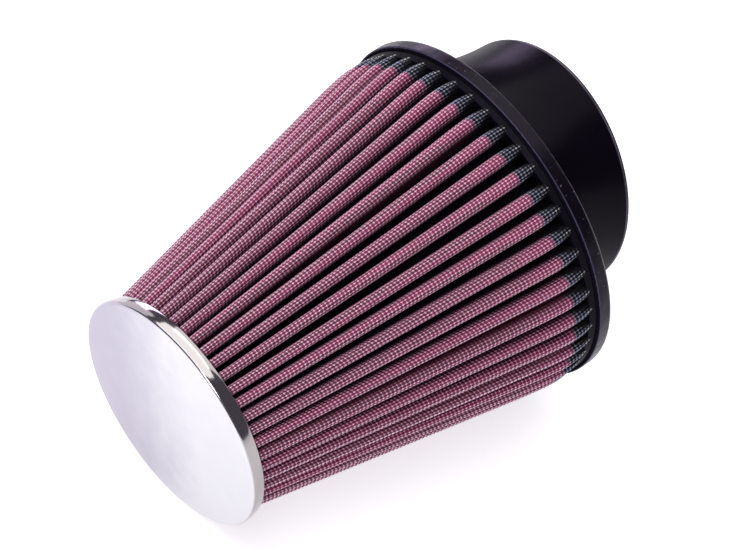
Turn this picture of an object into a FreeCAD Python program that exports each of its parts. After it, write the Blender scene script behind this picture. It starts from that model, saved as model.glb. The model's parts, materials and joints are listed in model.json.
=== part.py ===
import FreeCAD, Part
import Sketcher
import math
import os

# A cone-shaped air filter for a motorcycle intake, lying on its side as on a bench.
# Every piece is drawn about one local axis: Z runs from the face of the chrome cap towards
# the intake neck, X points to the top of the lying filter. One common placement lays it down.

# millimetres and degrees; heights are measured from the cap's face along the axis
SIZES = (
    # lying pose
    ("rest_angle", 9.4, "slope of the filter's axis when it lies on its side"),
    # chrome cap
    ("cap_corner", 45.0, "radius of the cap's corner before rounding"),
    ("cap_round", 2.3, "rounding of that corner"),
    ("cap_inner_round", 1.5, "bevel of the corner inside"),
    ("cap_rear", 5.6, "height of the skirt's rear edge"),
    ("cap_rear_radius", 43.6, "outer radius at the rear edge"),
    ("cap_sheet", 0.8, "thickness of the pressed sheet"),
    ("cap_hem", 0.3, "rounding of the rear edge"),
    ("cap_fill", 4.9, "height the sealing compound reaches inside the cap"),
    ("fill_corner", 42.3, "radius of the compound against the cap's face"),
    ("fill_gap", 0.05, "space drawn between compound and shell"),
    # pleated pack
    ("pleat_count", 48, "folds around the cone"),
    ("pleat_depth", 11.0, "crest to root"),
    ("pack_start", 3.2, "small end, inside the cap's compound"),
    ("pack_knee", 112.0, "end of the straight cone"),
    ("pack_shoulder", 119.0, "cone bending over"),
    ("pack_belly", 125.5, "fullest line of the crests"),
    ("pack_tuck", 131.5, "crests turning in"),
    ("pack_end", 137.3, "large end, inside the base compound"),
    ("crest_start", 41.2, "crest radius at the small end"),
    ("crest_knee", 62.9, "crest radius at the knee"),
    ("crest_shoulder", 64.1, "crest radius at the shoulder"),
    ("crest_belly", 64.75, "crest radius at the belly"),
    ("crest_tuck", 64.3, "crest radius at the tuck"),
    ("crest_end", 62.9, "crest radius at the large end"),
    ("fold_start", 1.75, "outside radius of a crest fold, small end"),
    ("fold_end", 2.6, "outside radius of a crest fold, large end"),
    ("valley_start", 0.35, "radius of the gap's bottom, small end"),
    ("valley_end", 1.1, "radius of the gap's bottom, large end"),
    ("gauze_count", 4, "layers of cotton gauze"),
    ("screen_thick", 0.26, "woven wire screen"),
    ("gauze_thick", 0.17, "one layer of cotton gauze"),
    ("layer_gap", 0.02, "space drawn between layers"),
    # base
    ("ring_radius", 66.0, "outer radius of the moulded base"),
    ("ring_front", 137.0, "front lip of the base"),
    ("ring_back", 142.6, "back face of the base"),
    ("lip_radius", 64.4, "inside of the lip"),
    ("floor_front", 139.9, "floor of the dish behind the compound"),
    ("bead_height", 135.6, "top of the compound around the pleats"),
    ("bead_radius", 63.4, "outer edge of the compound's top"),
    ("seal_height", 137.2, "compound where it meets the lip"),
    ("seal_bore", 52.8, "inner radius of the compound, clear of the neck's bore"),
    ("front_round", 0.6, "rounded front edge of the base"),
    ("back_round", 1.6, "rounded back edge of the base"),
    # intake neck; drops are measured down from the rim along the neck
    ("neck_tilt", 12.5, "neck axis against the filter's axis"),
    ("rim_height", 169.8, "height of the rim's middle"),
    ("rim_rise", 2.4, "rim's middle above the filter's axis"),
    ("rim_radius", 45.3, "outer radius at the rim"),
    ("waist_radius", 44.8, "outer radius at the waist"),
    ("waist_drop", 9.0, "waist below the rim"),
    ("foot_radius", 52.0, "outer radius the flare would reach at its foot"),
    ("foot_drop", 50.0, "foot of the flare, cut off at the dish"),
    ("foot_clear", 45.0, "how far the dish's cutter reaches"),
    ("root_round", 3.0, "fillet between neck and base"),
    ("bore_radius", 41.3, "bore for the intake mouth"),
    ("bore_drop", 60.0, "how far the bore's cutter reaches"),
    ("rim_round", 1.3, "rounded outer edge of the rim"),
    ("mouth_round", 0.8, "rounded inner edge of the rim"),
)

# lines around the pack where its slope changes
STATIONS = ("start", "knee", "shoulder", "belly", "tuck", "end")

doc = FreeCAD.newDocument("cone_filter")
sheet = doc.addObject("Spreadsheet::Sheet", "sizes")
value = {}
for row, (name, number, note) in enumerate(SIZES, start=1):
    sheet.set("A%d" % row, name)
    sheet.set("B%d" % row, str(number))
    sheet.set("C%d" % row, note)
    sheet.setAlias("B%d" % row, name)
doc.recompute()
for name, number, note in SIZES:
    value[name] = float(sheet.get(name))


def new_body(label):
    body = doc.addObject("PartDesign::Body", label)
    body.Label = label
    return body


def side_sketch(body, name):
    """A sketch in the XZ plane: sketch x is the radius, sketch y the height on the axis."""
    sketch = body.newObject("Sketcher::SketchObject", name)
    for feature in body.Origin.OriginFeatures:
        if feature.Role == "XZ_Plane":
            sketch.AttachmentSupport = [(feature, "")]
    sketch.MapMode = "FlatFace"
    return sketch


def set_point(sketch, line, end, radius, height):
    """Hold one end of a line at a named radius and height; None means on the axis or on zero."""
    if radius is None:
        sketch.addConstraint(Sketcher.Constraint("PointOnObject", line, end, -2))
    else:
        i = sketch.addConstraint(Sketcher.Constraint("DistanceX", -1, 1, line, end, value_of(radius)))
        sketch.setExpression("Constraints[%d]" % i, radius)
    if height is None:
        sketch.addConstraint(Sketcher.Constraint("PointOnObject", line, end, -1))
    else:
        i = sketch.addConstraint(Sketcher.Constraint("DistanceY", -1, 1, line, end, value_of(height)))
        sketch.setExpression("Constraints[%d]" % i, height)


def value_of(expression):
    """The number of a sum such as 'sizes.cap_corner - sizes.cap_sheet'."""
    total = 0.0
    sign = 1.0
    for word in expression.replace("sizes.", "").split():
        if word in "+-":
            sign = 1.0 if word == "+" else -1.0
        else:
            total += sign * value[word]
    return total


def profile(body, name, corners):
    """A closed outline of straight lines through named (radius, height) corners."""
    sketch = side_sketch(body, name)
    points = []
    for radius, height in corners:
        x = 0.0 if radius is None else value_of(radius)
        y = 0.0 if height is None else value_of(height)
        points.append(FreeCAD.Vector(x, y, 0))
    count = len(points)
    for i in range(count):
        sketch.addGeometry(Part.LineSegment(points[i], points[(i + 1) % count]), False)
    for i in range(count):
        sketch.addConstraint(Sketcher.Constraint("Coincident", i, 2, (i + 1) % count, 1))
    for i, (radius, height) in enumerate(corners):
        set_point(sketch, i, 1, radius, height)
    return sketch


def spin(body, sketch, name, kind="PartDesign::Revolution"):
    """Turn a sketch a full turn about its own vertical axis."""
    turn = body.newObject(kind, name)
    turn.Profile = sketch
    turn.ReferenceAxis = (sketch, ["V_Axis"])
    turn.Angle = 360
    doc.recompute()
    return turn


def round_circle(body, base, name, size, radius, height):
    """Fillet the full circle of one radius whose middle lies at one height on the axis."""
    chosen = []
    for i, edge in enumerate(base.Shape.Edges, start=1):
        curve = edge.Curve
        if isinstance(curve, Part.Circle) and abs(curve.Radius - radius) < 0.02:
            if abs(curve.Center.z - height) < 0.02:
                chosen.append("Edge%d" % i)
    fillet = body.newObject("PartDesign::Fillet", name)
    fillet.Base = (base, chosen)
    fillet.setExpression("Radius", size)
    doc.recompute()
    return fillet


def end_cap():
    """Chromed cap pressed from sheet: flat face, rounded corner, slightly tapered skirt."""
    body = new_body("end_cap")
    outer = profile(body, "cap_outside", [
        (None, None),
        ("sizes.cap_corner", None),
        ("sizes.cap_rear_radius", "sizes.cap_rear"),
        (None, "sizes.cap_rear"),
    ])
    solid = spin(body, outer, "cap_blank")
    solid = round_circle(body, solid, "corner_round", "sizes.cap_round", value["cap_corner"], 0.0)
    inner = profile(body, "cap_inside", [
        (None, "sizes.cap_sheet"),
        ("sizes.cap_corner - sizes.cap_sheet - sizes.cap_inner_round", "sizes.cap_sheet"),
        ("sizes.cap_corner - sizes.cap_sheet", "sizes.cap_sheet + sizes.cap_inner_round"),
        ("sizes.cap_rear_radius - sizes.cap_sheet", "sizes.cap_rear"),
        (None, "sizes.cap_rear"),
    ])
    solid = spin(body, inner, "cap_hollow", "PartDesign::Groove")
    round_circle(body, solid, "hem_round", "sizes.cap_hem", value["cap_rear_radius"], value["cap_rear"])
    return body


def cap_potting():
    """Disc of sealing compound inside the cap that holds the small end of the pleats."""
    body = new_body("cap_potting")
    disc = profile(body, "fill_outline", [
        (None, "sizes.cap_sheet + sizes.fill_gap"),
        ("sizes.fill_corner", "sizes.cap_sheet + sizes.fill_gap"),
        ("sizes.fill_corner", "sizes.cap_fill"),
        (None, "sizes.cap_fill"),
    ])
    spin(body, disc, "fill_disc")
    return body


def base_potting():
    """Ring of black compound in the dish of the base; it rises in a bead around the pleats."""
    body = new_body("base_potting")
    ring = profile(body, "seal_outline", [
        ("sizes.seal_bore", "sizes.bead_height"),
        ("sizes.bead_radius", "sizes.bead_height"),
        ("sizes.lip_radius - sizes.fill_gap", "sizes.seal_height"),
        ("sizes.lip_radius - sizes.fill_gap", "sizes.floor_front - sizes.fill_gap"),
        ("sizes.seal_bore", "sizes.floor_front - sizes.fill_gap"),
    ])
    spin(body, ring, "seal_ring")
    return body


def tilt_to_neck(sketch):
    """Lay a sketch's origin on the rim's middle, its vertical axis along the neck."""
    sketch.AttachmentOffset = FreeCAD.Placement(
        FreeCAD.Vector(value["rim_rise"], value["rim_height"], 0),
        FreeCAD.Rotation(FreeCAD.Vector(0, 0, 1), value["neck_tilt"]))
    sketch.setExpression("AttachmentOffset.Base.x", "sizes.rim_rise")
    sketch.setExpression("AttachmentOffset.Base.y", "sizes.rim_height")
    sketch.setExpression("AttachmentOffset.Rotation.Angle", "sizes.neck_tilt")


def neck_profile(body):
    """Half section of the neck: rim, waisted side as one arc, foot inside the base."""
    sketch = side_sketch(body, "neck_outline")
    tilt_to_neck(sketch)
    top = FreeCAD.Vector(value["rim_radius"], 0, 0)
    waist = FreeCAD.Vector(value["waist_radius"], -value["waist_drop"], 0)
    foot = FreeCAD.Vector(value["foot_radius"], -value["foot_drop"], 0)
    axis_foot = FreeCAD.Vector(0, -value["foot_drop"], 0)
    axis_top = FreeCAD.Vector(0, 0, 0)
    sketch.addGeometry(Part.Arc(top, waist, foot), False)
    sketch.addGeometry(Part.LineSegment(foot, axis_foot), False)
    sketch.addGeometry(Part.LineSegment(axis_foot, axis_top), False)
    sketch.addGeometry(Part.LineSegment(axis_top, top), False)
    return sketch


def neck_flange():
    """Rubber moulding: dished base ring with a tilted, waisted neck and a straight bore."""
    body = new_body("neck_flange")
    ring = profile(body, "ring_outline", [
        (None, "sizes.floor_front"),
        ("sizes.lip_radius", "sizes.floor_front"),
        ("sizes.lip_radius", "sizes.ring_front"),
        ("sizes.ring_radius", "sizes.ring_front"),
        ("sizes.ring_radius", "sizes.ring_back"),
        (None, "sizes.ring_back"),
    ])
    solid = spin(body, ring, "ring_blank")
    radius = value["ring_radius"]
    solid = round_circle(body, solid, "front_edge", "sizes.front_round", radius, value["ring_front"])
    solid = round_circle(body, solid, "back_edge", "sizes.back_round", radius, value["ring_back"])
    spin(body, neck_profile(body), "neck_blank")
    dish = profile(body, "dish_outline", [
        (None, "sizes.floor_front - sizes.foot_clear"),
        ("sizes.lip_radius", "sizes.floor_front - sizes.foot_clear"),
        ("sizes.lip_radius", "sizes.floor_front"),
        (None, "sizes.floor_front"),
    ])
    solid = spin(body, dish, "dish", "PartDesign::Groove")
    round_root(body, solid)
    solid = cut_bore(body)
    round_rim(body, solid)
    return body


def cut_bore(body):
    """Cut a straight round passage along the neck's axis."""
    bore = side_sketch(body, "bore_outline")
    tilt_to_neck(bore)
    width, depth = value["bore_radius"], value["bore_drop"]
    corners = [FreeCAD.Vector(0, 1, 0), FreeCAD.Vector(width, 1, 0),
               FreeCAD.Vector(width, -depth, 0), FreeCAD.Vector(0, -depth, 0)]
    for i in range(4):
        bore.addGeometry(Part.LineSegment(corners[i], corners[(i + 1) % 4]), False)
    before = body.Shape.Volume
    cut = spin(body, bore, "bore", "PartDesign::Groove")
    print("%s bore takes %.1f mm3" % (body.Label, before - body.Shape.Volume))
    return cut


def round_root(body, solid):
    """Fillet the closed line where the neck meets the back of the base."""
    chosen = []
    for i, edge in enumerate(solid.Shape.Edges, start=1):
        box = edge.BoundBox
        flat = box.ZLength < 0.01 and abs(box.ZMin - value["ring_back"]) < 0.01
        if flat and box.YLength > 1.9 * value["rim_radius"] and box.YMax < value["lip_radius"] - 2:
            chosen.append("Edge%d" % i)
    fillet = body.newObject("PartDesign::Fillet", "root_fillet")
    fillet.Base = (solid, chosen)
    fillet.setExpression("Radius", "sizes.root_round")
    doc.recompute()
    print("root edges", len(chosen))


def round_rim(body, solid):
    """Round both edges of the rim."""
    for name, size, radius in (("rim_edge", "rim_round", "rim_radius"),
                               ("mouth_edge", "mouth_round", "bore_radius")):
        chosen = []
        for i, edge in enumerate(solid.Shape.Edges, start=1):
            curve = edge.Curve
            if isinstance(curve, Part.Circle) and abs(curve.Radius - value[radius]) < 0.02:
                if abs(curve.Center.z - value["rim_height"]) < 0.05:
                    chosen.append("Edge%d" % i)
        fillet = body.newObject("PartDesign::Fillet", name)
        fillet.Base = (solid, chosen)
        fillet.setExpression("Radius", "sizes." + size)
        doc.recompute()
        solid = fillet


def crest_at(height):
    """Crest radius of the pleated pack at one height: cone, belly, tucked-in large end."""
    for low, high in zip(STATIONS[:-1], STATIONS[1:]):
        bottom = value["pack_" + low]
        top = value["pack_" + high]
        if height <= top + 1e-6:
            part = (height - bottom) / (top - bottom)
            return value["crest_" + low] * (1 - part) + value["crest_" + high] * part
    return value["crest_end"]


def pack_thickness():
    layers = 2 * value["screen_thick"] + value["gauze_count"] * value["gauze_thick"]
    return layers + (value["gauze_count"] + 1) * value["layer_gap"]


def fold_wire(height, inset):
    """Closed zigzag of round folds and straight flanks, a distance inside the outer face."""
    part = (height - value["pack_start"]) / (value["pack_end"] - value["pack_start"])
    fold = value["fold_start"] * (1 - part) + value["fold_end"] * part
    valley = value["valley_start"] * (1 - part) + value["valley_end"] * part
    crest = crest_at(height)
    crest_middle = crest - fold
    root_middle = crest - value["pleat_depth"] + valley + pack_thickness()
    count = int(value["pleat_count"])
    half = math.pi / count
    # the flank is the line that touches the crest circle and the root circle from opposite sides
    across = root_middle * math.sin(half)
    along = root_middle * math.cos(half) - crest_middle
    reach = math.hypot(along, across)
    turn = math.atan2(across, along) - math.acos((fold + valley) / reach)
    normal = (math.cos(turn), math.sin(turn))
    crest_arc = fold - inset
    root_arc = valley + inset
    leave = (crest_middle + crest_arc * normal[0], crest_arc * normal[1])
    land = (root_middle * math.cos(half) - root_arc * normal[0],
            root_middle * math.sin(half) - root_arc * normal[1])
    top = (crest_middle + crest_arc, 0.0)
    deep = ((root_middle - root_arc) * math.cos(half), (root_middle - root_arc) * math.sin(half))
    edges = []
    for i in range(count):
        here = 2 * half * i
        after = here + 2 * half
        first = place(leave, here, height, True)
        last = place(leave, here, height)
        down = place(land, here, height)
        up = place(land, after, height, True)
        edges.append(Part.Arc(first, place(top, here, height), last).toShape())
        edges.append(Part.LineSegment(last, down).toShape())
        edges.append(Part.Arc(down, place(deep, here, height), up).toShape())
        edges.append(Part.LineSegment(up, place(leave, after, height, True)).toShape())
    return Part.Wire(edges)


def place(point, angle, height, mirrored=False):
    """A point of one fold turned to its place around the axis."""
    x, y = point
    if mirrored:
        y = -y
    c = math.cos(angle)
    q = math.sin(angle)
    return FreeCAD.Vector(x * c - y * q, x * q + y * c, height)


def pleated_layer(label, inset, thickness):
    """One sheet of the pleated pack: two folded faces, closed at both ends."""
    heights = [value["pack_" + station] for station in STATIONS]
    outside = [fold_wire(height, inset) for height in heights]
    inside = [fold_wire(height, inset + thickness) for height in heights]
    faces = list(Part.makeLoft(outside, False, True).Faces)
    faces += Part.makeLoft(inside, False, True).Faces
    for end in (0, -1):
        faces.append(Part.makeFace([outside[end], inside[end]], "Part::FaceMakerBullseye"))
    shell = Part.Shell(faces)
    shell.sewShape()
    solid = Part.Solid(shell)
    if solid.Volume < 0:
        solid.reverse()
    layer = doc.addObject("Part::Feature", label)
    layer.Label = label
    layer.Shape = solid
    return layer


def pleated_pack():
    """Wire screen, layers of gauze and a second wire screen, folded together."""
    layers = [pleated_layer("outer_screen", 0.0, value["screen_thick"])]
    inset = value["screen_thick"] + value["layer_gap"]
    for i in range(int(value["gauze_count"])):
        layers.append(pleated_layer("gauze_%d" % (i + 1), inset, value["gauze_thick"]))
        inset += value["gauze_thick"] + value["layer_gap"]
    layers.append(pleated_layer("inner_screen", inset, value["screen_thick"]))
    return layers


def lay_down(parts):
    """Lay the filter on its side, its middle over the origin and its lowest line on zero."""
    slope = math.radians(value["rest_angle"])
    up = FreeCAD.Vector(-math.sin(slope), 0, math.cos(slope))
    side = FreeCAD.Vector(0, -1, 0)
    along = FreeCAD.Vector(math.cos(slope), 0, math.sin(slope))
    turn = FreeCAD.Rotation(up, side, along, "ZXY")
    box = FreeCAD.BoundBox()
    for part in parts:
        part.Placement = FreeCAD.Placement(FreeCAD.Vector(0, 0, 0), turn)
        doc.recompute()
        box.add(part.Shape.optimalBoundingBox(False, False))
    middle = FreeCAD.Vector(-(box.XMin + box.XMax) / 2, -(box.YMin + box.YMax) / 2, -box.ZMin)
    for part in parts:
        part.Placement = FreeCAD.Placement(middle, turn)
    print("box %.2f x %.2f x %.2f mm, moved by %s" % (box.XLength, box.YLength, box.ZLength, middle))


parts = [end_cap(), cap_potting(), base_potting(), neck_flange()] + pleated_pack()
lay_down(parts)
doc.recompute()

for thing in doc.Objects:
    for state in thing.State:
        if state in ("Invalid", "Error"):
            raise RuntimeError("%s is %s" % (thing.Label, state))
for part in parts:
    if part.Shape.isNull() or not part.Shape.isValid():
        raise RuntimeError("%s has no valid shape" % part.Label)

os.makedirs("parts", exist_ok=True)
for part in parts:
    part.Shape.exportStep("parts/%s.step" % part.Label)
    print("%-14s %10.1f mm3  solids %d" % (part.Label, part.Shape.Volume, len(part.Shape.Solids)))
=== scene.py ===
# %% [markdown]
# # A cone air filter, dressed for its portrait
# The filter comes from the CAD as ten solid pieces in one frame, lying on its side as on a bench.
# This lesson keeps the pieces whose shape is already right, such as the rubber neck and the inner
# layers of gauze, and only gives them a better finish. The folded wire screen and the outermost
# gauze are made again, because single wires are too fine for the CAD but are what the eye sees
# first. The chrome cap and the black compound are made again too, with softer, truer sections.

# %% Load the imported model
import bpy
import json
import math
from mathutils import Matrix, Vector


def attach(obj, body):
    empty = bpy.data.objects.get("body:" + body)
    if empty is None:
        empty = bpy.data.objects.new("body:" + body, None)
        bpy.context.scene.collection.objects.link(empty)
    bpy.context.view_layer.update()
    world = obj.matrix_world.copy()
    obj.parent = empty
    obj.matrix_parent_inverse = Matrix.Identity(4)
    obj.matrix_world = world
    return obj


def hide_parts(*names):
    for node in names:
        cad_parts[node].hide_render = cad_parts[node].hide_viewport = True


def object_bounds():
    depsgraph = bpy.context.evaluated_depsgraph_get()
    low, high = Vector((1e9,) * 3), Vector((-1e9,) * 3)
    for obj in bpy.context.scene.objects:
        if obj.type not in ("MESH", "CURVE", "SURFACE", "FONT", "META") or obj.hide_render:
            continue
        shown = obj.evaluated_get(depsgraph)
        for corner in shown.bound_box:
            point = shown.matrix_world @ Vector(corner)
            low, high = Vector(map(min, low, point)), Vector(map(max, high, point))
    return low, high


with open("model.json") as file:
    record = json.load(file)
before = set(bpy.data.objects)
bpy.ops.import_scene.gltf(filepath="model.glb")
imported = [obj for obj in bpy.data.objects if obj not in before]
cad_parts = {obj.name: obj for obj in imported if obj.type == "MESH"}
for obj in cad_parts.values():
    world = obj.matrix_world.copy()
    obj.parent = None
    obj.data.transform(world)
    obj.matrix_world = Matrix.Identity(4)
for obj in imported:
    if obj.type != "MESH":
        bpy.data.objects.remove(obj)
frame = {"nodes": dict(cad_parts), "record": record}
cad_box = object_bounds()
nodes = frame["nodes"]
mounts = {mount["name"]: mount for mount in frame["record"]["mounts"]}
MM = 0.001
print("pieces from the CAD:", sorted(nodes))

# %% [markdown]
# ## The filter's own axis
# The filter lies on its side, so its axis slopes a little. Round and folded pieces are much easier
# to make upright, with the axis on Z and the cap's face at zero, and to lay down when finished.
# Where the face is and which way the axis points are read from the record's mounts.

# %% Find the axis and the place of the cap's face
face = Vector(mounts["cap_face"]["pos_m"])
along = -Vector(mounts["cap_face"]["axis"]).normalized()
side = Vector((0, -1, 0))
top = side.cross(along).normalized()
lying = Matrix((top, side, along)).transposed().to_4x4()
lying.translation = face
print("axis slopes by %.1f degrees" % math.degrees(math.asin(along.z)))


def deselect_all():
    """Nothing selected, nothing active: an operator then only sees what is picked next."""
    if bpy.context.object and bpy.context.object.mode != "OBJECT":
        bpy.ops.object.mode_set(mode="OBJECT")
    bpy.ops.object.select_all(action="DESELECT")


def pick(piece):
    deselect_all()
    piece.select_set(True)
    bpy.context.view_layer.objects.active = piece


def lay_down(piece):
    """Take a piece made upright to its lying place, and write that place into its mesh."""
    pick(piece)
    piece.matrix_world = lying @ piece.matrix_world
    bpy.ops.object.transform_apply(location=True, rotation=True, scale=True)


# %% [markdown]
# ## A small language for finishes
# A finish is a network of shader nodes. Drawing it by hand means dragging a Math node for each sum,
# so here one class wraps a number that changes over the surface and lets Python's own signs add
# the Math nodes. Another class holds the material and adds any other node in one call.

# %% Numbers that change over a surface
class Number:
    def __init__(self, finish, socket):
        self.finish = finish
        self.socket = socket

    def __add__(self, other):
        return self.finish.math("ADD", self, other)

    def __sub__(self, other):
        return self.finish.math("SUBTRACT", self, other)

    def __rsub__(self, other):
        return self.finish.math("SUBTRACT", other, self)

    def __mul__(self, other):
        return self.finish.math("MULTIPLY", self, other)

    __radd__ = __add__
    __rmul__ = __mul__


# %% A finish and its nodes
class Finish:
    def __init__(self, name, **fixed):
        self.material = bpy.data.materials.new(name)
        self.material.use_nodes = True
        self.tree = self.material.node_tree
        self.shader = self.tree.nodes["Principled BSDF"]
        for socket, value in fixed.items():
            self.shader.inputs[socket.replace("_", " ")].default_value = value

    def node(self, kind, settings, sockets):
        """Add one node: its settings first, then a value or a link for each named socket."""
        node = self.tree.nodes.new(kind)
        for name, setting in settings.items():
            if name == "stops":
                self.set_stops(node.color_ramp, setting)
            else:
                setattr(node, name, setting)
        for name, value in sockets.items():
            self.feed(node.inputs[name], value)
        return node

    def set_stops(self, ramp, stops):
        while len(ramp.elements) < len(stops):
            ramp.elements.new(0.5)
        for element, (place, colour) in zip(ramp.elements, stops):
            element.position = place
            element.color = (*colour, 1.0)

    def feed(self, socket, value):
        if isinstance(value, Number):
            self.tree.links.new(value.socket, socket)
        elif isinstance(value, bpy.types.NodeSocket):
            self.tree.links.new(value, socket)
        elif isinstance(value, tuple) and socket.type == "RGBA":
            socket.default_value = (*value, 1.0)
        else:
            socket.default_value = value

    def math(self, operation, first, second=0.0):
        node = self.node("ShaderNodeMath", {"operation": operation}, {0: first, 1: second})
        return Number(self, node.outputs[0])

    def step(self, value, low, high):
        """0 below low, 1 above high, smooth between."""
        node = self.node("ShaderNodeMapRange", {"interpolation_type": "SMOOTHSTEP"},
                         {"Value": value, "From Min": low, "From Max": high})
        return Number(self, node.outputs["Result"])

    def mix(self, amount, first, second, kind="MIX"):
        """Blend two colours by a number."""
        node = self.node("ShaderNodeMix", {"data_type": "RGBA", "blend_type": kind},
                         {"Factor": amount, 6: first, 7: second})
        return node.outputs[2]

    def ramp(self, value, *stops):
        return self.node("ShaderNodeValToRGB", {"stops": stops}, {"Fac": value}).outputs["Color"]

    def place(self):
        """Where a point is on the finished object, in metres."""
        return self.node("ShaderNodeTexCoord", {}, {}).outputs["Object"]

    def height_on_axis(self, start=face, axis=along):
        """How far a point is from a start along an axis, in millimetres.

        Without a start and an axis: from the cap's face along the filter's own axis.
        """
        moved = self.node("ShaderNodeVectorMath", {"operation": "SUBTRACT"},
                          {0: self.place(), 1: tuple(start)})
        dot = self.node("ShaderNodeVectorMath", {"operation": "DOT_PRODUCT"},
                        {0: moved.outputs["Vector"], 1: tuple(axis)})
        return Number(self, dot.outputs["Value"]) * 1000.0

    def noise(self, size, detail=2.0):
        """Soft random cloud whose blobs are about size millimetres wide."""
        node = self.node("ShaderNodeTexNoise", {}, {
            "Vector": self.place(), "Scale": 1.0 / (size * MM), "Detail": detail})
        return Number(self, node.outputs["Fac"])

    def bump(self, height, distance, strength=1.0):
        node = self.node("ShaderNodeBump", {}, {
            "Height": height, "Distance": distance * MM, "Strength": strength})
        self.feed(self.shader.inputs["Normal"], node.outputs["Normal"])

    def dull(self, where, colour):
        """Where this is 1 the surface is matt and has the given colour, without any reflection."""
        end = self.tree.nodes["Material Output"].inputs["Surface"]
        matt = self.node("ShaderNodeBsdfDiffuse", {}, {"Color": colour})
        both = self.node("ShaderNodeMixShader", {}, {
            "Fac": where, 1: end.links[0].from_socket, 2: matt.outputs["BSDF"]})
        self.tree.links.new(both.outputs["Shader"], end)

    def paint(self, **sockets):
        for socket, value in sockets.items():
            self.feed(self.shader.inputs[socket.replace("_", " ")], value)


def dress(piece, finish):
    """Put one finish on all of a piece."""
    piece.data.materials.clear()
    piece.data.materials.append(finish.material)


# %% [markdown]
# ## The line of the folds
# The pack is one strip folded 48 times around the cone. Cut across, each fold is a round crest, two
# straight flanks and half of a round valley on each side. The crest line runs straight up the
# cone, swells a little and tucks in where the pack enters the base. These are the sizes of the CAD
# pieces. Only the shoulder next to the base is up to 0.9 mm fuller, because there the folds are
# squeezed.

# %% Sizes of the pleated pack in millimetres
PLEATS = 48
DEPTH = 11.0
PACK_WALL = 1.3
STATIONS = (  # height on the axis, radius of the crest line
    (3.2, 41.2), (112.0, 62.9), (119.0, 64.2), (125.5, 65.1), (131.5, 65.0), (137.3, 63.8))
FOLD = (1.75, 2.6)  # radius of a crest's round at the small and at the large end
VALLEY = (0.35, 1.1)  # radius of the gap's bottom at both ends


def slope_at(i):
    """Slope of the crest line at a station: the straight cone up to the knee, then an average."""
    spans = [(b[1] - a[1]) / (b[0] - a[0]) for a, b in zip(STATIONS[:-1], STATIONS[1:])]
    if i < 2:
        return spans[0]
    if i == len(STATIONS) - 1:
        return spans[-1]
    return (spans[i - 1] + spans[i]) / 2


def crest_radius(height):
    """Radius of the crest line at a height, as a smooth curve through the stations."""
    for i, (low, high) in enumerate(zip(STATIONS[:-1], STATIONS[1:])):
        if height <= high[0]:
            break
    span = high[0] - low[0]
    part = (height - low[0]) / span
    rest = 1 - part
    start, end = slope_at(i) * span, slope_at(i + 1) * span
    return (low[1] * rest * rest * (1 + 2 * part) + high[1] * part * part * (3 - 2 * part)
            + start * part * rest * rest - end * part * part * rest)


def fold_point(height, inset, across):
    """The point of a fold, inset from the outer face: across is 0 on the crest, 1 in the valley."""
    part = (height - STATIONS[0][0]) / (STATIONS[-1][0] - STATIONS[0][0])
    fold = FOLD[0] + (FOLD[1] - FOLD[0]) * part
    valley = VALLEY[0] + (VALLEY[1] - VALLEY[0]) * part
    half = math.pi / PLEATS
    crest = crest_radius(height) - fold
    root = crest_radius(height) - DEPTH + valley + PACK_WALL
    root_x, root_y = root * math.cos(half) - crest, root * math.sin(half)
    reach = math.hypot(root_x, root_y)
    turn = math.atan2(root_y, root_x) - math.acos((fold + valley) / reach)
    flank = math.sqrt(reach ** 2 - (fold + valley) ** 2)
    fold -= inset
    valley += inset
    length = fold * turn + flank + valley * (turn - half)
    walked = abs(across) * length
    if walked < fold * turn:
        x = fold * math.cos(walked / fold)
        y = fold * math.sin(walked / fold)
    elif walked < fold * turn + flank:
        walked -= fold * turn
        x = fold * math.cos(turn) - walked * math.sin(turn)
        y = fold * math.sin(turn) + walked * math.cos(turn)
    else:
        angle = turn + math.pi - (walked - fold * turn - flank) / valley
        x = root_x + valley * math.cos(angle)
        y = root_y + valley * math.sin(angle)
    return crest + x, math.copysign(y, across)


for height in (3.2, 60.0, 125.5, 137.3):
    print("height %.1f: crest at %.2f, valley at %.2f mm"
          % (height, fold_point(height, 0, 0)[0], math.hypot(*fold_point(height, 0, 1))))

# %% [markdown]
# ## Folding a flat strip
# The maker weaves a flat screen, then presses it over blades. Here a flat grid plays the strip: one
# square of the grid is one opening of the weave. No modelling operator bends a sheet along a given
# line, so each point of the grid is moved to its place on the fold. The grid's own UV map stays
# with it, and later tells the finishes where the crest is and how far along the fold a point lies.

# %% A strip folded once
UNEVEN = 0.0022  # how far a fold may stand off its place, in radians


def folded_strip(name, columns, rows, heights, inset, skew=0.0):
    """One fold, standing upright at the front of the cone, between two heights.

    A skew above 0 lets the rows run uphill across the fold, as cloth cut a little off the straight.
    """
    deselect_all()
    bpy.ops.mesh.primitive_grid_add(x_subdivisions=columns, y_subdivisions=rows, size=2,
                                    calc_uvs=True, location=(0, 0, 0))
    strip = bpy.context.object
    strip.name = name
    low, high = heights
    for point in strip.data.vertices:
        across, up = point.co.x, (point.co.y + 1) / 2
        height = low + (high - low) * up + skew * across * math.sin(math.pi * up) ** 0.25
        radius, aside = fold_point(height, inset, across)
        point.co = Vector((radius, aside, height)) * MM
    strip.data.update()
    return strip


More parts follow.
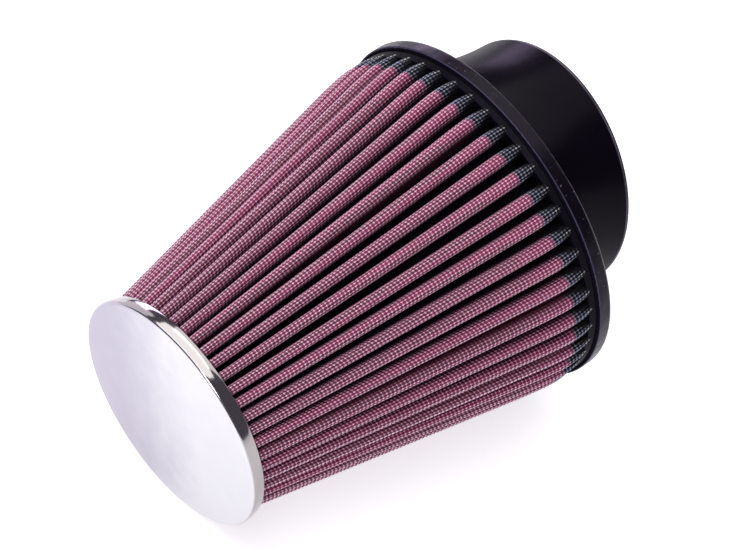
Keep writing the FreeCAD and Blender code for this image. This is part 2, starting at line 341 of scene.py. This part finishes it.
def around_the_cone(folds, groups, name):
    """Copy the folds in turn to the 48 places, no two standing quite alike, and join them."""
    turn = math.tau / PLEATS
    pieces = []
    share = PLEATS // groups
    for group in range(groups):
        copies = []
        for i in range(share):
            pick(folds[i % len(folds)])
            bpy.ops.object.duplicate(linked=False)
            copy = bpy.context.object
            place = group * share + i
            copy.rotation_euler[2] = turn * place + UNEVEN * math.sin(place * 2.4)
            copies.append(copy)
        deselect_all()
        for copy in copies:
            copy.select_set(True)
        bpy.context.view_layer.objects.active = copies[0]
        bpy.ops.object.join()
        piece = bpy.context.object
        piece.name = "%s_%d" % (name, group + 1)
        lay_down(piece)
        pieces.append(piece)
    for fold in folds:
        bpy.data.objects.remove(fold)
    return pieces


# %% [markdown]
# ## The red gauze
# Under the screen lies oiled cotton gauze. Its outermost layer is the one that shows, so it is made
# again as a thin folded sheet. Solidify gives it the thickness of the cloth, away from the screen.

# %% Make the outer layer of gauze
CLOTH = 0.17
CLOTH_INSET = 0.40
strip = folded_strip("gauze", 20, 40, (4.2, 136.6), CLOTH_INSET)
cloth = strip.modifiers.new("cloth", "SOLIDIFY")
cloth.thickness = CLOTH * MM
cloth.offset = -1
pick(strip)
bpy.ops.object.modifier_apply(modifier="cloth")
bpy.ops.object.shade_smooth()
gauze_pieces = around_the_cone([strip], 2, "gauze_outside")
print("gauze:", [len(piece.data.polygons) for piece in gauze_pieces], "faces")

# %% [markdown]
# ## The wire screen
# The screen is a plain weave with openings of about one and a half millimetres. A Wireframe
# modifier turns every edge of the grid into a wire, which is far less work than sweeping each one.
# Each wire is shaded smooth, so that it looks round. No two folds next to each other cut the cloth
# at the same slant, so six strips with different skews take turns around the cone.

# %% Make the wires
COLUMNS, ROWS = 20, 89
WIRE = 0.33
WIRE_INSET = 0.28
SKEWS = (1.9, -0.8, 3.2, 0.4, 2.5, -1.6)


def woven_strip(name, skew):
    """One fold of screen: every edge of its grid becomes a wire."""
    strip = folded_strip(name, COLUMNS, ROWS, (4.4, 136.0), WIRE_INSET, skew)
    weave = strip.modifiers.new("weave", "WIREFRAME")
    weave.thickness = WIRE * MM
    weave.use_even_offset = False
    weave.use_replace = True
    weave.use_boundary = True
    pick(strip)
    bpy.ops.object.modifier_apply(modifier="weave")
    bpy.ops.object.shade_smooth()
    return strip


strips = [woven_strip("wires_%d" % i, skew) for i, skew in enumerate(SKEWS)]
wire_pieces = around_the_cone(strips, 8, "outer_wires")
print("wires:", sum(len(piece.data.polygons) for piece in wire_pieces), "faces")

# %% [markdown]
# ## Turning round pieces
# The cap is a round pressing and the compound is a round pour. On a lathe one would draw half of
# the section and spin it. A single point is moved to the start of that line, extruded from corner
# to corner, and spun a full turn.

# %% A small lathe
def arc(middle, radius, start, end, count):
    """Points on an arc, as (radius, height) pairs; angles in degrees from outwards to upwards."""
    points = []
    for i in range(count + 1):
        angle = math.radians(start + (end - start) * i / count)
        points.append((middle[0] + radius * math.cos(angle), middle[1] + radius * math.sin(angle)))
    return points


def turned(name, line, steps=192):
    """Spin a line of (radius, height) points in millimetres about the upright axis."""
    deselect_all()
    bpy.ops.mesh.primitive_plane_add(size=MM, location=(0, 0, 0))
    piece = bpy.context.object
    piece.name = name
    bpy.ops.object.mode_set(mode="EDIT")
    bpy.ops.mesh.select_all(action="SELECT")
    bpy.ops.mesh.merge(type="CENTER")
    bpy.ops.transform.translate(value=(line[0][0] * MM, 0, line[0][1] * MM))
    for here, after in zip(line[:-1], line[1:]):
        step = ((after[0] - here[0]) * MM, 0, (after[1] - here[1]) * MM)
        bpy.ops.mesh.extrude_region_move(TRANSFORM_OT_translate={"value": step})
    bpy.ops.mesh.select_all(action="SELECT")
    bpy.ops.mesh.spin(steps=steps, angle=math.tau, center=(0, 0, 0), axis=(0, 0, 1))
    bpy.ops.mesh.select_all(action="SELECT")
    bpy.ops.mesh.remove_doubles(threshold=0.002 * MM)
    bpy.ops.mesh.normals_make_consistent(inside=False)
    bpy.ops.object.mode_set(mode="OBJECT")
    pick(piece)
    bpy.ops.object.shade_smooth_by_angle(angle=math.radians(28))
    return piece


# %% [markdown]
# ## The chrome cap
# The cap is drawn from thin sheet: a nearly flat face, a tight round corner, and a skirt that
# tapers a little and ends in a rolled hem. The corner reflects the dark side of the room and shows
# as one thin line, and the hem catches a line of light, so both are modelled.

# %% Turn the cap
cap_line = [(0.0, 0.25), (20.0, 0.23), (36.0, 0.19)]
cap_line += arc((42.85, 1.47), 1.3, 271, 365, 12)
cap_line += [(43.91, 4.10)]
cap_line += arc((43.20, 5.14), 0.42, 14, 170, 8)
cap_line += [(42.90, 4.6), (43.25, 2.9), (42.5, 1.5), (41.4, 0.9), (0.0, 0.9)]
cap = turned("chrome_cap", cap_line)
lay_down(cap)
print("cap:", len(cap.data.polygons), "faces")

# %% [markdown]
# ## The cast compound
# The compound is poured round the end of the pleats and creeps a little up the lip and the folds,
# so its surface stands higher than in the CAD piece. It is turned like the cap.

# %% Turn the compound
compound_line = [(52.8, 139.86), (52.8, 135.0)] + arc((54.0, 135.2), 0.9, 180, 90, 3)
compound_line += [(57.0, 134.9), (60.0, 134.3), (62.6, 134.0), (63.6, 134.2)]
compound_line += arc((64.9, 136.75), 0.62, 235, 145, 4)
compound_line += [(64.36, 139.86)]
base_seal = turned("cast_compound", compound_line)
lay_down(base_seal)
print("compound:", len(base_seal.data.polygons), "faces")

# %% [markdown]
# ## Finishes
# Red gauze: oiled cotton, with painted shade that darkens it from the crest to near black in the
# valleys. Its last centimetre before the base is soaked in the black compound. The yarns are drawn
# by two sets of waves along the strip's own UV map, so that they follow the folds.

# %% Red gauze
SOAKED_FROM = 0.925  # share of the strip's length


def fold_finish(name, **fixed):
    """A finish for folded pieces, with the numbers that tell where a point is on its fold."""
    finish = Finish(name, **fixed)
    split = finish.node("ShaderNodeSeparateXYZ", {}, {
        "Vector": finish.node("ShaderNodeUVMap", {"uv_map": "UVMap"}, {}).outputs["UV"]})
    finish.across = Number(finish, split.outputs["X"])
    finish.up = Number(finish, split.outputs["Y"])
    finish.away = finish.math("ABSOLUTE", finish.across * 2.0 - 1.0)
    finish.cloud = finish.noise(3.0, 3.0)
    return finish


def soaked(finish):
    """1 where the compound has crept up the fold, with an uneven front."""
    uneven = finish.up + (finish.cloud - 0.5) * 0.012
    return finish.step(uneven, SOAKED_FROM, SOAKED_FROM + 0.008)


gauze = fold_finish("red_gauze", Roughness=0.7, Specular_IOR_Level=0.15)
yarns = gauze.math("SINE", gauze.across * 320.0) * 0.5 + 0.5
picks = gauze.math("SINE", gauze.up * 1500.0) * 0.5 + 0.5
weave_height = yarns * picks
# Painted shade: the ramp darkens the gauze from the crest down the flanks to near black in the
# valleys.
red = gauze.ramp(gauze.away + (gauze.cloud - 0.5) * 0.08,
                 (0.0, (0.29, 0.042, 0.120)), (0.12, (0.22, 0.027, 0.083)),
                 (0.26, (0.08, 0.009, 0.036)), (0.40, (0.014, 0.002, 0.010)),
                 (1.0, (0.003, 0.001, 0.003)))
red = gauze.mix(weave_height * 0.5, red, (0.55, 0.35, 0.45), "MULTIPLY")
black = gauze.mix(gauze.cloud, (0.002, 0.002, 0.004), (0.006, 0.006, 0.010))
gauze.paint(Base_Color=gauze.mix(soaked(gauze), red, black))
gauze.bump(weave_height, 0.05, 0.5)
for piece in gauze_pieces:
    dress(piece, gauze)

# %% [markdown]
# Wire: coated aluminium that has taken up some of the red oil. A painted highlight at each crossing
# of two wires, brightest on the crest, draws rows of bright dots along every crest. Down the
# flanks painted shade darkens the wires until they are nearly black.

# %% Coated wire
wire = fold_finish("coated_wire", Metallic=0.55, Specular_IOR_Level=0.25)
column = wire.math("PINGPONG", wire.across * float(COLUMNS), 0.5)
row = wire.math("PINGPONG", wire.up * float(ROWS), 0.5)
# Painted highlight: a bright dot at every crossing of two wires, drawn from the strip's UV grid.
crossing_glint = 1.0 - wire.step(column + row, 0.14, 0.40)
# Painted highlight: the crossings are brighter still along the middle of each crest.
lit = 1.0 - wire.step(wire.away, 0.03, 0.24)
mottle = wire.noise(2.2, 2.0)
pink = wire.mix(crossing_glint * (mottle + 0.55), (0.27, 0.105, 0.19), (0.90, 0.45, 0.60))
pink = wire.mix(lit * crossing_glint * (mottle + 0.5), pink, (1.0, 0.74, 0.86))
grey = wire.mix(crossing_glint, (0.06, 0.065, 0.11), (0.42, 0.44, 0.56))
colour = wire.mix(soaked(wire), pink, grey)
# Painted highlight: a white glint on the crest's crossings at the tip of each fold.
tip_glint = crossing_glint * wire.step(wire.up, 0.966, 0.970) * (1.0 - wire.step(wire.away, 0.08, 0.22))
colour = wire.mix(tip_glint, colour, (1.0, 1.0, 1.0))
# Painted shade: the wires darken down the flanks to nearly black, less far down near the base.
edge = 0.44 - wire.step(wire.up, SOAKED_FROM, 0.99) * 0.34
shade = wire.step(wire.away - edge, -0.24, 0.03)
colour = wire.mix(shade, colour, (0.006, 0.004, 0.007))
wire.paint(Base_Color=colour, Roughness=wire.cloud * 0.2 + 0.28)
for piece in wire_pieces:
    dress(piece, wire)

# %% [markdown]
# Chrome is almost pure reflection. What makes it look real is that it is not perfectly flat: a very
# shallow, broad wave bends the reflections, and a breath of haze softens them. A painted reflection
# darkens the face towards its far side, and painted shade makes the skirt darker than the face.

# %% Chrome
chrome = Finish("cap_chrome", Metallic=1.0)
wave = chrome.noise(38.0, 1.0)
haze = chrome.noise(9.0, 3.0)
on_face = 1.0 - chrome.step(chrome.height_on_axis(), 0.3, 1.2)
# Painted reflection: the face's colour turns a darker lavender towards its far side.
aside = chrome.node("ShaderNodeSeparateXYZ", {}, {"Vector": chrome.place()}).outputs["Y"]
far_side_painted_reflection = chrome.step(Number(chrome, aside) + (haze - 0.5) * 0.012, -0.020, 0.032)
bright = chrome.mix(far_side_painted_reflection, (0.70, 0.695, 0.705), (0.42, 0.40, 0.46))
bright = chrome.mix(haze * 0.5, bright, (0.88, 0.88, 0.92), "MULTIPLY")
# Painted shade: off the face, the skirt gets a darker chrome colour than the face.
chrome.paint(Base_Color=chrome.mix(on_face, (0.36, 0.335, 0.33), bright),
             Roughness=haze * 0.08 + 0.06 + on_face * 0.10)
chrome.bump(wave * (0.04 + on_face * 0.96), 0.40, 0.5)
dress(cap, chrome)

# %% [markdown]
# Rubber and compound are black, but not equally. The moulded base is satin with a faint violet cast
# and a few pale specks of dust, and its neck is more matt. A thin painted highlight runs round the
# lip, and a paler one round the rim. The cast compound has shallow ripples and is duller.

# %% Black rubber
LIP_FRONT, RING_BACK = 137.0, 142.6  # heights on the filter's axis, in millimetres
rubber = Finish("neck_rubber", Specular_IOR_Level=0.13, Specular_Tint=(0.92, 0.80, 1.0, 1.0))
patch = rubber.noise(14.0, 3.0)
grain = rubber.noise(0.45, 2.0)
on_ring = 1.0 - rubber.step(rubber.height_on_axis(), RING_BACK, RING_BACK + 1.4)
dust = rubber.step(rubber.noise(0.9, 0.0), 0.80, 0.83) * on_ring
lip_height = rubber.height_on_axis() - LIP_FRONT
front = 1.0 - rubber.step(lip_height, 0.02, 0.25)
# Painted highlight: a thin violet line round the front edge of the lip.
lip_highlight = rubber.step(lip_height, 0.05, 0.20) * (1.0 - rubber.step(lip_height, 0.40, 0.55))
neck_height = rubber.height_on_axis(mounts["neck_bore"]["pos_m"], mounts["neck_bore"]["axis"])
# Painted highlight: a thin pale line round the rim of the neck.
rim_highlight = rubber.step(neck_height, 8.0, 8.4) * (1.0 - rubber.step(neck_height, 8.7, 9.1)) * patch
tone = rubber.mix(patch, (0.0014, 0.0008, 0.0022), (0.0050, 0.0030, 0.0080))
tone = rubber.mix(lip_highlight, tone, (0.045, 0.042, 0.085))
tone = rubber.mix(rim_highlight, tone, (0.20, 0.18, 0.24))
rubber.paint(Base_Color=rubber.mix(dust, tone, (0.10, 0.09, 0.12)),
             Roughness=patch * 0.14 + grain * 0.10 + on_ring * 0.06 + 0.14)
wavy = rubber.noise(7.0, 1.0) * on_ring
rubber.bump(grain * 0.4 + patch * 3.0 + wavy * 12.0, 0.06, 0.5)
rubber.dull((1.0 - on_ring) * (1.0 - rim_highlight) * 0.62, (0.0020, 0.0014, 0.0032))
rubber.dull(front, (0.009, 0.007, 0.013))
dress(nodes["neck_flange"], rubber)

# %% Cast compound
compound = Finish("black_compound", Specular_IOR_Level=0.10, Specular_Tint=(0.92, 0.84, 1.0, 1.0))
ripple = compound.noise(6.0, 2.0)
compound.paint(Base_Color=compound.mix(ripple, (0.001, 0.001, 0.002), (0.003, 0.003, 0.005)),
               Roughness=ripple * 0.25 + 0.14)
compound.bump(ripple, 0.25, 0.6)
compound.dull(0.6, (0.007, 0.006, 0.010))
for piece in (base_seal, nodes["base_potting"], nodes["cap_potting"]):
    dress(piece, compound)

# %% [markdown]
# The inner layers only show through the neck and between the folds. The gauze is plain deep red,
# and black where the compound has soaked it. The inner screen carries drawn rings of wire, one
# every one and a half millimetres of its height on the axis.

# %% Inner layers
deep = Finish("inner_gauze", Roughness=0.7)
depth_cloud = deep.noise(2.0, 3.0)
cloth_red = deep.mix(depth_cloud, (0.06, 0.007, 0.020), (0.14, 0.022, 0.050))
wet = deep.step(deep.height_on_axis(), STATIONS[3][0], 127.0)
deep.paint(Base_Color=deep.mix(wet, cloth_red, (0.003, 0.003, 0.005)))
deep.bump(depth_cloud, 0.08, 0.4)
for name in ("gauze_1", "gauze_2", "gauze_3", "gauze_4"):
    dress(nodes[name], deep)

inner = Finish("inner_wire", Roughness=0.4)
rings = 1.0 - inner.step(inner.math("PINGPONG", inner.height_on_axis(), 0.75), 0.12, 0.22)
inner_cloud = inner.noise(4.0, 2.0)
cloth_red = inner.mix(inner_cloud, (0.20, 0.03, 0.07), (0.30, 0.06, 0.12))
inner.paint(Base_Color=inner.mix(rings, cloth_red, (0.55, 0.45, 0.52)), Metallic=rings * 0.6)
dress(nodes["inner_screen"], inner)

# %% [markdown]
# ## What replaces what
# A piece that is made again hides the CAD piece it stands for. All ride on the one body, because
# nothing on this filter moves.

# %% Tell the frame
for piece in wire_pieces:
    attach(piece, "root")
    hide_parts("outer_screen")
for piece in gauze_pieces:
    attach(piece, "root")
    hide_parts("gauze_1")
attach(base_seal, "root")
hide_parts("base_potting")
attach(cap, "root")
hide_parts("end_cap")

# %% [markdown]
# ## Floor, light and camera
# A pale floor that glows a little, so that it stays white, one large soft light above and four
# weaker ones: a card from the right that fills the shadows, a small front light for the crests, and
# two behind that draw a soft edge on the black rubber. The sky is dim and slightly violet. The
# camera stands far away with a long lens, so that the cone's shape isn't stretched.

# %% Floor
FLOOR_GAP = 0.0002  # keeps the floor clear of the lowest point, in metres
deselect_all()
bpy.ops.mesh.primitive_plane_add(size=6.0, location=(0, 0, cad_box[0][2] - FLOOR_GAP))
floor = bpy.context.object
floor.name = "floor"
paper = Finish("pale_paper", Roughness=0.9, Emission_Strength=0.76)
grain = paper.noise(400.0, 1.0)
paper.paint(Base_Color=paper.mix(grain, (0.55, 0.55, 0.57), (0.57, 0.57, 0.59)),
            Emission_Color=paper.mix(grain, (0.93, 0.92, 0.96), (0.95, 0.94, 0.97)))
dress(floor, paper)

# %% Lights
world = bpy.data.worlds.new("studio")
bpy.context.scene.world = world
world.use_nodes = True
sky = world.node_tree.nodes["Background"].inputs
sky["Color"].default_value = (0.84, 0.78, 1.0, 1.0)
sky["Strength"].default_value = 0.16


def soft_light(name, place, aim, width, power, colour=(1, 1, 1)):
    """A square area light at a place, turned towards a point."""
    deselect_all()
    bpy.ops.object.light_add(type="AREA", location=place)
    lamp = bpy.context.object
    lamp.name = name
    lamp.data.size = width
    lamp.data.energy = power
    lamp.data.color = colour
    lamp.rotation_euler = (Vector(aim) - Vector(place)).to_track_quat("-Z", "Y").to_euler()


soft_light("overhead", (-0.12, 0.10, 1.15), (-0.12, 0.10, 0), 1.45, 15)
soft_light("card", (1.10, 0.10, 1.0), (-0.08, 0, 0.06), 1.25, 7.5)
soft_light("front", (-0.9, -0.7, 0.9), (0, 0, 0.06), 0.5, 6, (1.0, 0.95, 0.97))
soft_light("behind", (0.72, 1.0, 0.42), (0.05, 0, 0.09), 0.45, 3.2, (0.82, 0.66, 1.0))
soft_light("backdrop", (0.05, 1.15, 0.50), (0, 0, 0.30), 1.0, 3.6, (0.97, 0.92, 1.0))

# %% Camera
CAMERA_FROM_FACE = (-873.68, -1037.42, 1169.787)  # millimetres
CAMERA_RIGHT = (0.75831, -0.650214, 0.046783)
CAMERA_UP = (0.384022, 0.503548, 0.773929)
CAMERA_BACK = (-0.526777, -0.568912, 0.631542)
CAMERA_LENS = 260.3
deselect_all()
bpy.ops.object.camera_add(location=(0, 0, 0))
camera = bpy.context.object
view = Matrix((CAMERA_RIGHT, CAMERA_UP, CAMERA_BACK)).transposed().to_4x4()
view.translation = face + Vector(CAMERA_FROM_FACE) * MM
camera.matrix_world = view
camera.data.lens = CAMERA_LENS
camera.data.sensor_width = 36.0
camera.data.clip_end = 20.0
bpy.context.scene.camera = camera
bpy.context.scene.view_settings.view_transform = "Standard"
